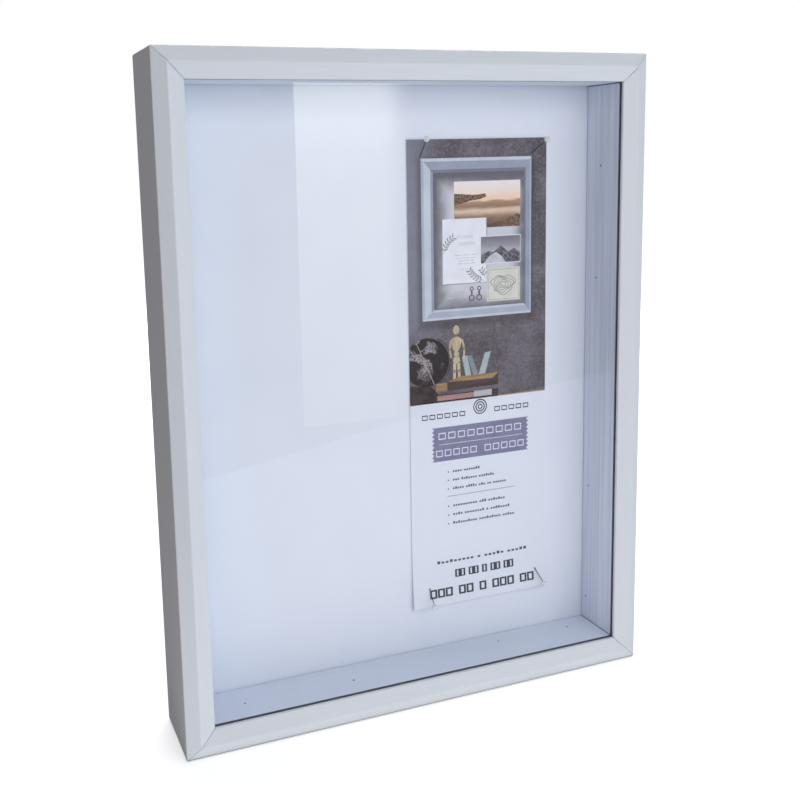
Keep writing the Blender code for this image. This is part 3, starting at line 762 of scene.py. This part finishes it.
def make_pins():
    """Each pin as a ground steel shank and a pearly ball, on its plain solid's own line."""
    pearl = pearly_plastic()
    shank_metal = plated("pin_steel", (0.05, 0.05, 0.055), (0.13, 0.13, 0.14), 0.25, "y")
    for joint in frame["joints"]:
        if not joint["name"].endswith("_pull"):
            continue
        node = joint["child"]
        way = Vector(joint["axis"]).normalized()
        points = [vertex.co for vertex in frame["nodes"][node].data.vertices]
        reaches = [point.dot(way) for point in points]
        tip = points[reaches.index(min(reaches))]
        length = max(reaches) - min(reaches)
        ball = max((p - tip - way * (p - tip).dot(way)).length for p in points)
        stand = Matrix.Translation(tip) @ way.to_track_quat("Z", "Y").to_matrix().to_4x4()

        top = length - SHANK_END * ball
        point = [(0, 0), (0.1 * SHANK, 0.05 * MM), (0.75 * SHANK, 1.2 * MM), (SHANK, 2.4 * MM)]
        shank = turned(point + [(SHANK, top), (0, top)], 16)
        shank.transform(stand)
        made = finished(f"shank_{node}", shank, [shank_metal])
        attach(made, node)

        middle = length - ball
        arc = span(-math.pi / 2, math.pi / 2, 18)[1:-1]
        bow = [(ball * math.cos(a) * BALL_EASE, middle + ball * math.sin(a)) for a in arc]
        head = turned(bow, 28)
        bmesh.ops.holes_fill(head, edges=[edge for edge in head.edges if edge.is_boundary])
        head.transform(stand)
        made = finished(f"head_{node}", head, [pearl])
        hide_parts(node)
        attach(made, node)


# --- The printed card -------------------------------------------------------------------------


def sprig(page, x, z, heading, leaves, size, layer, look, bend=6.0):
    """A bending stem with leaves on both sides."""
    points = [(x, z)]
    for step in range(leaves):
        angle = math.radians(heading + bend * step)
        px, pz = points[-1]
        px, pz = px + size * 0.62 * math.cos(angle), pz + size * 0.62 * math.sin(angle)
        points.append((px, pz))
        for hand in (-1, 1):
            lean = angle + hand * 0.85
            mx, mz = px + size * 0.52 * math.cos(lean), pz + size * 0.52 * math.sin(lean)
            c, s = math.cos(lean), math.sin(lean)
            leaf = ellipse(0, 0, size * 0.45, size * 0.15, steps=10)
            page.area([(mx + a * c - b * s, mz + a * s + b * c) for a, b in leaf], layer, look)
    page.stroke(points, size * 0.08, layer, look)


def moulding(page, outer, inner, layer, looks):
    """Four mitred strips between two rectangles, each with its own tone."""
    corners_out, corners_in = rectangle(*outer), rectangle(*inner)
    for here, look in enumerate(looks):
        after = (here + 1) % 4
        strip = corners_out[here], corners_out[after], corners_in[after], corners_in[here]
        page.area(strip, layer, look)


def lerp_box(outer, inner, share):
    """A rectangle part of the way from one to another."""
    return [a + (b - a) * share for a, b in zip(outer, inner)]


# The card, in millimetres right of and above its middle.
CARD_LEFT, CARD_RIGHT, CARD_TOP = 7.1, 117.5, 167.4
PICTURE_FOOT = -18.2


def make_picture():
    """The printed room scene: a plaster wall, a framed arrangement, and a shelf of objects."""
    page = Print("print_room")
    page.area(rectangle(CARD_LEFT, PICTURE_FOOT, CARD_RIGHT, CARD_TOP), 0, plaster_ink())

    tones = {
        tone: ink(f"ink_frame_{tone}", dark, light, 14)
        for tone, dark, light in (
            ("bright", (0.5, 0.552, 0.665), (0.57, 0.622, 0.735)),
            ("plain", (0.37, 0.415, 0.525), (0.43, 0.478, 0.588)),
            ("dull", (0.28, 0.315, 0.415), (0.34, 0.375, 0.478)),
            ("deep", (0.17, 0.18, 0.25), (0.21, 0.22, 0.29)),
        )
    }
    outer, inner = (17.6, 41.5, 105.1, 154.4), (26.8, 48.8, 99.2, 144.4)
    steps = outer, lerp_box(outer, inner, 0.22), lerp_box(outer, inner, 0.78), inner
    orders = (  # the tones of the bottom, right, top and left strips, from the outside in
        ("bright", "plain", "bright", "plain"),
        ("plain", "dull", "dull", "bright"),
        ("bright", "deep", "deep", "dull"),
    )
    for outside, inside, order in zip(steps, steps[1:], orders):
        moulding(page, outside, inside, 1, [tones[tone] for tone in order])
    page.area(rectangle(*inner), 1, vignette_ink())

    white = ink("ink_white", (0.74, 0.77, 0.86), (0.82, 0.84, 0.92), 9)
    line = ink("ink_fine_line", (0.2, 0.21, 0.25), (0.27, 0.28, 0.32), 3)
    leaf = ink("ink_leaf", (0.23, 0.27, 0.28), (0.34, 0.38, 0.38), 3)
    soft = ink("ink_soft_line", (0.45, 0.47, 0.53), (0.52, 0.54, 0.6), 3)
    bands = (
        (0.0, (0.12, 0.07, 0.05)),
        (0.16, (0.34, 0.22, 0.16)),
        (0.3, (0.72, 0.55, 0.43)),
        (0.44, (0.3, 0.19, 0.14)),
        (0.6, (0.42, 0.27, 0.19)),
        (0.66, (0.86, 0.62, 0.45)),
        (1.0, (0.84, 0.78, 0.79)),
    )
    dusk = banded_ink("ink_dusk", 105, 138, bands, 0.16)
    rock = ink("ink_rock", (0.04, 0.025, 0.02), (0.3, 0.2, 0.14), 1.1, contrast=2.0)
    shore = [(43, 112), (68.6, 112), (68.6, 105.2), (96, 105.2), (96, 138), (43, 138)]
    page.area(shore, 2, dusk)
    cliff = [(43, 121.5), (43, 129.6), (50, 129.2), (58, 128.4), (64, 128.8), (67.5, 129.2)]
    page.area(cliff + [(68.5, 127), (63, 125.2), (56, 124.6), (50, 123)], 3, rock)
    stones = [(81, 105.2), (96, 105.2), (96, 113), (93, 114.6), (90, 112), (87, 112.6), (83, 109)]
    page.area(stones, 3, rock)

    page.area(rectangle(33.7, 66.3, 68.6, 112.2), 4, white)
    page.stroke([(33.7, 66.3), (68.6, 66.3), (68.6, 112.2)], 0.5, 4, line)
    sprig(page, 34.6, 88, 80, 6, 3.6, 5, leaf, bend=-9)
    sprig(page, 66.5, 67.5, 165, 6, 3.6, 5, leaf, bend=-7)
    sprig(page, 67.4, 69.5, 110, 3, 3.2, 5, leaf, bend=8)
    for z, left, right in ((99.5, 45, 58), (94.5, 46, 60)):
        page.words(left, right, z, 1.6, 5, soft, (6,), line=0.35)
    for z, reach in ((86.5, 9), (84.5, 8), (82.5, 6), (80.5, 7), (76.5, 4)):
        page.words(52.5 - reach, 52.5 + reach, z, 0.5, 5, soft, (3, 4, 3))

    bands = (0.0, (0.2, 0.2, 0.24)), (0.45, (0.42, 0.43, 0.49)), (1.0, (0.2, 0.2, 0.25))
    hills = banded_ink("ink_grey_sky", 80, 98.5, bands, 0.2)
    slope = ink("ink_slope", (0.05, 0.05, 0.06), (0.2, 0.2, 0.23), 1.6, contrast=1.6)
    mist = ink("ink_mist", (0.48, 0.49, 0.55), (0.62, 0.63, 0.69), 3)
    page.area(rectangle(64, 79.7, 95.7, 98.6), 5, hills)
    ridge = [(64, 79.7), (95.7, 79.7), (95.7, 86), (91, 89.5), (86, 87.2), (80, 92), (74, 87)]
    page.area(ridge + [(70, 88.5), (64, 85)], 6, slope)
    page.area([(66, 79.7), (84, 79.7), (81, 84), (76, 87.3), (71, 85)], 7, mist)
    page.stroke(rectangle(63.6, 79.4, 96, 98.9), 0.6, 6, white, closed=True)

    cream = ink("ink_cream", (0.62, 0.63, 0.58), (0.7, 0.71, 0.66), 7)
    page.area(rectangle(68.5, 52, 95.6, 75.9), 5, cream)
    page.stroke(rectangle(69.7, 53.2, 94.4, 74.7), 0.35, 6, line, closed=True)
    for ring in range(5):
        reach = 9.2 - 1.75 * ring
        points = []
        for angle in span(0, math.tau, 44)[:-1]:
            wave = 1 + 0.13 * math.sin(3 * angle + ring) + 0.07 * math.sin(7 * angle)
            across, upwards = reach * wave * math.cos(angle), reach * wave * math.sin(angle)
            points.append((82 + across, 64 + 0.72 * upwards))
        page.stroke(points, 0.42, 6, line, closed=True)

    mauve = ink("ink_mauve_drop", (0.08, 0.075, 0.12), (0.19, 0.175, 0.27), 2)
    for x in (56.5, 62.5):
        page.stroke(ellipse(x, 62.2, 1.3, 1.3, steps=18), 0.7, 5, mauve, closed=True)
        page.area(ellipse(x, 59.3, 0.7, 1.5, steps=12), 5, mauve)
        page.stroke(ellipse(x, 55.6, 1.9, 1.9, steps=18), 0.9, 5, mauve, closed=True)
    sprig(page, 36.5, 55.5, 30, 6, 3.4, 5, soft, bend=-6)

    make_shelf_scene(page)
    return page.done()


def make_shelf_scene(page):
    """Globe, lay figure, leaning boards, tray and books, along the foot of the picture."""
    dark_wood = ink("ink_dark_wood", (0.045, 0.03, 0.03), (0.1, 0.07, 0.068), 5, (6, 1, 1))
    ochre = ink("ink_ochre", (0.26, 0.165, 0.08), (0.4, 0.27, 0.14), 3, (5, 1, 1))
    rose = ink("ink_rose", (0.36, 0.2, 0.2), (0.46, 0.28, 0.27), 4, (6, 1, 1))
    shadow = ink("ink_shadow", (0.03, 0.02, 0.022), (0.075, 0.052, 0.052), 7)
    left, right, foot = CARD_LEFT, CARD_RIGHT, PICTURE_FOOT
    dim = [(left, foot), (78, foot), (78, -12.5), (30, -12.5), (24, -6), (left, -4)]
    page.area(dim, 1, shadow)
    page.area([(78, foot), (right, foot), (right, -17.2), (78, -17.4)], 1, ochre)

    x, z, radius = 20.5, 11.8, 17.6
    disc = [(max(left, a), b) for a, b in ellipse(x, z, radius, radius, steps=48)]
    page.area(disc, 2, ball_ink("ink_globe", x, z, radius))
    brass = ink("ink_brass", (0.3, 0.26, 0.22), (0.45, 0.41, 0.36), 2)
    page.stroke([(12.5, 26.5), (19, 12), (26.5, -5)], 0.6, 3, brass)
    page.stroke(ellipse(x, z, radius + 1.1, radius + 1.1, -66, 62, 30), 0.8, 3, dark_wood)

    wood = ink("ink_lay_figure", (0.42, 0.345, 0.235), (0.6, 0.52, 0.385), 3, (1, 1, 4))
    shade = ink("ink_figure_shade", (0.24, 0.185, 0.12), (0.32, 0.255, 0.17), 3, (1, 1, 4))
    page.area(ellipse(43.9, 33.4, 2.5, 3.5), 4, wood)
    page.area(rectangle(43.1, 28.2, 44.7, 30.6), 4, shade)
    chest = [(39.4, 26.6), (42.4, 28.6), (45.4, 28.6), (48.4, 26.6), (47.2, 21), (45.3, 17.8)]
    page.area(chest + [(42.5, 17.8), (40.6, 21)], 4, wood)
    page.area(ellipse(44, 16, 2.3, 1.9), 4, wood)
    page.area([(41.6, 14), (46.4, 14), (46.9, 10.6), (44.1, 8.8), (41.2, 10.6)], 4, wood)
    for hip, foot in ((42.6, 42.2), (45.6, 46.4)):
        leg = [(hip - 1.4, 9.6), (hip + 1.3, 9.6), (foot + 1.0, -2.8), (foot - 0.9, -2.8)]
        page.area(leg, 4, wood)
        page.area(ellipse(foot - 0.1, 3.6, 1.35, 1.3, steps=14), 5, shade)
    page.stroke([(39.6, 26.2), (38.6, 19.5), (39.8, 13.5)], 1.5, 4, wood)
    page.stroke([(48.6, 26.2), (50.3, 19.5), (49.8, 11.5)], 1.4, 4, wood)
    page.area(ellipse(38.8, 19.7, 1.1, 1.1, steps=12), 5, shade)
    page.area(ellipse(50.2, 19.6, 1.1, 1.1, steps=12), 5, shade)

    teal = ink("ink_teal", (0.36, 0.43, 0.47), (0.43, 0.5, 0.54), 4)
    teal_edge = ink("ink_teal_edge", (0.2, 0.25, 0.28), (0.26, 0.3, 0.33), 4)
    boards = (
        [(51.5, -1.5), (48.4, 13.6), (52.6, 14.2), (55.8, -0.8)],
        [(57.5, -0.8), (52.6, 14.2), (56.3, 14.0), (61.6, -0.6)],
        [(61.8, -0.6), (67.0, 15.0), (71.8, 15.6), (67.2, -0.2)],
    )
    for outline, look in zip(boards, (teal, teal_edge, teal)):
        page.area(outline, 3, look)
    page.stroke([(67.2, -0.2), (71.8, 15.6)], 0.5, 4, teal_edge)

    page.area([(36.5, -3.8), (46, -0.6), (78, -0.4), (73, -4.2)], 5, ochre)
    page.area([(36.5, -3.8), (73, -4.2), (78, -0.4), (77.6, -9.2), (36.5, -10.2)], 4, dark_wood)
    page.area(rectangle(27.5, -10.2, 36.5, -4.2), 5, ochre)
    page.area(rectangle(28.5, -16.8, 58, -13.2), 5, rose)
    pages = ink("ink_page_edge", (0.4, 0.4, 0.44), (0.5, 0.5, 0.54), 3, (8, 1, 1))
    page.area(rectangle(58, -16.8, 72.5, -12.4), 5, pages)


def make_label():
    """The printed label below the picture: a toothed panel and blank bars for rows of words."""
    page = Print("print_label")
    dark = ink("ink_dark", (0.018, 0.018, 0.03), (0.035, 0.035, 0.05), 4)
    grey = ink("ink_grey", (0.045, 0.045, 0.07), (0.075, 0.075, 0.105), 4)
    mauve = ink("ink_mauve", (0.165, 0.165, 0.29), (0.205, 0.205, 0.335), 16)
    pale = ink("ink_pale", (0.66, 0.68, 0.8), (0.74, 0.76, 0.86), 6)

    page.words(16.5, 52.5, -28.2, 2.9, 0, dark, (6,), line=0.95)
    for radius in (5.2, 3.4, 1.6):
        page.stroke(ellipse(63, -24.5, radius, radius, steps=36), 0.85, 0, dark, closed=True)
    page.words(75, 105, -27.6, 2.9, 0, dark, (5,), line=0.95)

    teeth, bite = 8, 1.8
    high, low = -36.6, -61.8
    heights = span(high, low, 2 * teeth)
    right = [(103.3 - bite * (here % 2), z) for here, z in enumerate(heights)]
    left = [(24.0 + bite * (here % 2), z) for here, z in enumerate(heights)]
    page.area(right + left[::-1], 0, mauve)
    page.words(29.5, 99.5, -43.1, 4.2, 1, pale, (9,), line=1.0)
    page.stroke([(29.5, -49.4), (98, -49.4)], 0.35, 1, pale)
    page.words(27.5, 101.5, -55.9, 4.2, 1, pale, (5, 5), line=1.0)

    rows = (  # height, right end, and the letters in each word
        (-70.4, 63, (4, 7)),
        (-76.8, 75, (3, 7, 7)),
        (-83.3, 85, (5, 5, 3, 2, 6)),
        (-96.3, 84, (10, 3, 7)),
        (-103.0, 88, (4, 8, 1, 8)),
        (-109.6, 92, (10, 9, 5)),
    )
    for z, end, letters in rows:
        page.area(ellipse(36.8, z, 0.55, 0.55, steps=12), 0, dark)
        page.words(40.5, end, z, 1.35, 0, grey, letters)
    page.stroke([(36.0, -88.8), (92, -88.8)], 0.3, 0, grey)
    page.words(27, 102.8, -138.5, 1.5, 0, grey, (9, 1, 5, 5))
    page.words(42, 91, -148.3, 5.0, 0, dark, (2, 2, 1, 2, 2), line=1.7)
    page.words(21, 109, -161.2, 5.4, 0, dark, (3, 2, 1, 3, 2), line=2.0)
    return page.done()


# --- Stage ------------------------------------------------------------------------------------


FLOOR_REACH = 14.0
FLOOR_HEIGHT = -0.3 * MM
WINDOW_Y = -0.5
TABLE_HEIGHT = 0.001
NOWHERE = (9, 10)  # past the end of every stage sheet


def glow(name, tint, strengths, limits, gone=NOWHERE):
    """A glowing stage material whose strength changes with height, and may fade out along X."""
    made = bpy.data.materials.new(name)
    made.use_nodes = True
    made.node_tree.nodes.clear()
    nodes = Nodes(made.node_tree)
    height = nodes.fade(nodes.z, *limits, interpolation="LINEAR")
    stops = [(at, [strength * share for share in tint]) for at, strength in strengths]
    light = nodes.add("ShaderNodeEmission")
    nodes.feed(light.inputs[0], nodes.ramp(height, *stops))
    clear = nodes.add("ShaderNodeBsdfTransparent").outputs[0]
    output = nodes.add("ShaderNodeOutputMaterial")
    nodes.blend(output, nodes.fade(nodes.x, *gone), light.outputs[0], clear)
    return made


def stage_sheet(name, corners, look):
    form = bmesh.new()
    form.faces.new([form.verts.new(corner) for corner in corners])
    mesh = bpy.data.meshes.new(name)
    form.to_mesh(mesh)
    form.free()
    mesh.materials.append(look)
    made = bpy.data.objects.new(name, mesh)
    bpy.context.scene.collection.objects.link(made)
    return made


def only_in_reflections(made):
    """A card that only shows in glass and other shiny surfaces, like a studio's light card."""
    made.visible_camera = False
    made.visible_diffuse = False
    made.visible_volume_scatter = False
    made.visible_shadow = False


def make_stage():
    """A pale floor that glows, more strongly further from the box, and a window and a table top
    that only show as reflections.
    """
    look = Look(
        "stage_floor",
        Base_Color=(0.86, 0.87, 0.88, 1),
        Roughness=0.9,
        Specular_IOR_Level=0.0,
        Emission_Strength=1.0,
    )
    away = look.add("ShaderNodeVectorMath", operation="LENGTH")
    look.feed(away.inputs[0], look.place)
    # Painted light: the floor glows, weaker near the box and stronger further out, so it looks
    # white beyond the lamps' reach.
    floor_glow = look.fade(away.outputs["Value"], 0.35, 1.5, 0.42, 0.75)
    look.feed(look.shader.inputs["Emission Color"], floor_glow)
    floor = rectangle(-FLOOR_REACH, -FLOOR_REACH, FLOOR_REACH, FLOOR_REACH)
    floor = stage_sheet("stage_floor", [(x, y, FLOOR_HEIGHT) for x, y in floor], look.material)
    floor.visible_glossy = False
    floor.visible_diffuse = False
    floor.visible_transmission = False

    left, right, low, high = 0.073, 0.225, 0.075, 0.46
    strengths = (0.0, 0.62), (0.33, 0.95), (0.67, 1.35), (0.87, 1.85), (1.0, 2.9)
    shine = glow("stage_window_glow", (1.0, 1.0, 0.9), strengths, (low, high), (0.172, 0.216))
    window = [(x, WINDOW_Y, z) for x, z in rectangle(left, low, right, high)]
    only_in_reflections(stage_sheet("stage_window", window, shine))

    shine = glow("stage_table_glow", (0.93, 1.0, 1.25), ((0.0, 0.55), (1.0, 0.55)), (0.0, 1.0))
    near_edge = (-0.9, -0.18), (-0.0285, -0.5847), (0.2964, -0.7339), (1.2, -1.02)
    table = [(x, y, TABLE_HEIGHT) for x, y in near_edge + ((1.2, -0.05), (-0.9, -0.05))]
    only_in_reflections(stage_sheet("stage_table", table, shine))


def lamp(name, place, target, size, watts, colour, in_reflections=False):
    light = bpy.data.lights.new(name, "AREA")
    light.shape = "RECTANGLE"
    light.size, light.size_y = size
    light.energy = watts
    light.color = colour
    made = bpy.data.objects.new(name, light)
    made.location = place
    made.rotation_euler = (Vector(target) - Vector(place)).to_track_quat("-Z", "Y").to_euler()
    made.visible_camera = False
    made.visible_glossy = in_reflections
    made.visible_transmission = in_reflections
    bpy.context.scene.collection.objects.link(made)


def make_lights():
    """Four soft lamps in a dim room that looks white straight on and through the glass."""
    middle = (0, 0, MIDDLE)
    lamp("key", (0.14, -0.94, 0.61), middle, (1.4, 0.6), 6.0, (0.98, 0.99, 1.0))
    lamp("bounce", (0.3, -0.465, 0.0008), (0.3, -0.465, 1), (1.3, 0.87), 2.8, (1.0, 1.0, 1.0))
    lamp("floor_wash", (0.3, 0.9, 2.6), (0, 0.5, 0), (2.4, 2.0), 26, (1.0, 1.0, 1.0))
    lamp("back_fill", (0.5, 1.9, 0.9), middle, (1.5, 1.2), 26, (1.0, 0.98, 0.96), True)

    world = bpy.data.worlds.new("studio")
    bpy.context.scene.world = world
    world.use_nodes = True
    world.node_tree.nodes.clear()
    nodes = Nodes(world.node_tree, "Generated")
    rays = nodes.add("ShaderNodeLightPath").outputs
    across = nodes.fade(nodes.x, -1.0, 1.0, interpolation="LINEAR")
    room = nodes.ramp(across, (0.0, (0.305, 0.263, 0.263)), (1.0, (0.42, 0.44, 0.47)))
    room = nodes.mix(rays["Is Glossy Ray"], room, (0.45, 0.45, 0.45), "MULTIPLY")
    rearward = nodes.math("GREATER_THAN", nodes.y, 0.0)
    through = nodes.math("MULTIPLY", rays["Is Transmission Ray"], rearward)
    straight = nodes.math("MAXIMUM", rays["Is Camera Ray"], through)
    sky = nodes.add("ShaderNodeBackground")
    nodes.feed(sky.inputs["Color"], nodes.mix(straight, room, (1.0, 1.0, 1.0)))
    nodes.feed(nodes.add("ShaderNodeOutputWorld").inputs["Surface"], sky.outputs[0])


# Rounded from a fit of the frame's corners to where they should appear.
CAMERA_PLACE = (-0.2846, -0.6251, 0.378)
CAMERA_AHEAD = (0.3594, 0.9198, -0.1572)
CAMERA_ABOVE = (0.079, 0.1378, 0.9873)


def make_camera():
    """Seen from the left of the front and a little above, through a normal lens."""
    data = bpy.data.cameras.new("camera")
    data.sensor_fit = "VERTICAL"
    data.sensor_width, data.sensor_height = 31.0, 36.0
    data.lens = 45.79
    data.shift_x, data.shift_y = 0.06, -0.1
    data.clip_start = 0.01
    camera = bpy.data.objects.new("camera", data)
    ahead = Vector(CAMERA_AHEAD).normalized()
    right = ahead.cross(Vector(CAMERA_ABOVE)).normalized()
    above = right.cross(ahead)
    turn = Matrix((right, above, -ahead)).transposed().to_4x4()
    camera.matrix_world = Matrix.Translation(CAMERA_PLACE) @ turn
    bpy.context.scene.collection.objects.link(camera)
    bpy.context.scene.camera = camera


make_camera()
make_stage()
make_lights()
dress_frame()
fill_mitres()
make_cushion()
make_pins()
make_picture()
make_label()

bpy.context.scene.view_settings.view_transform = "Standard"
bpy.context.scene.view_settings.look = "None"
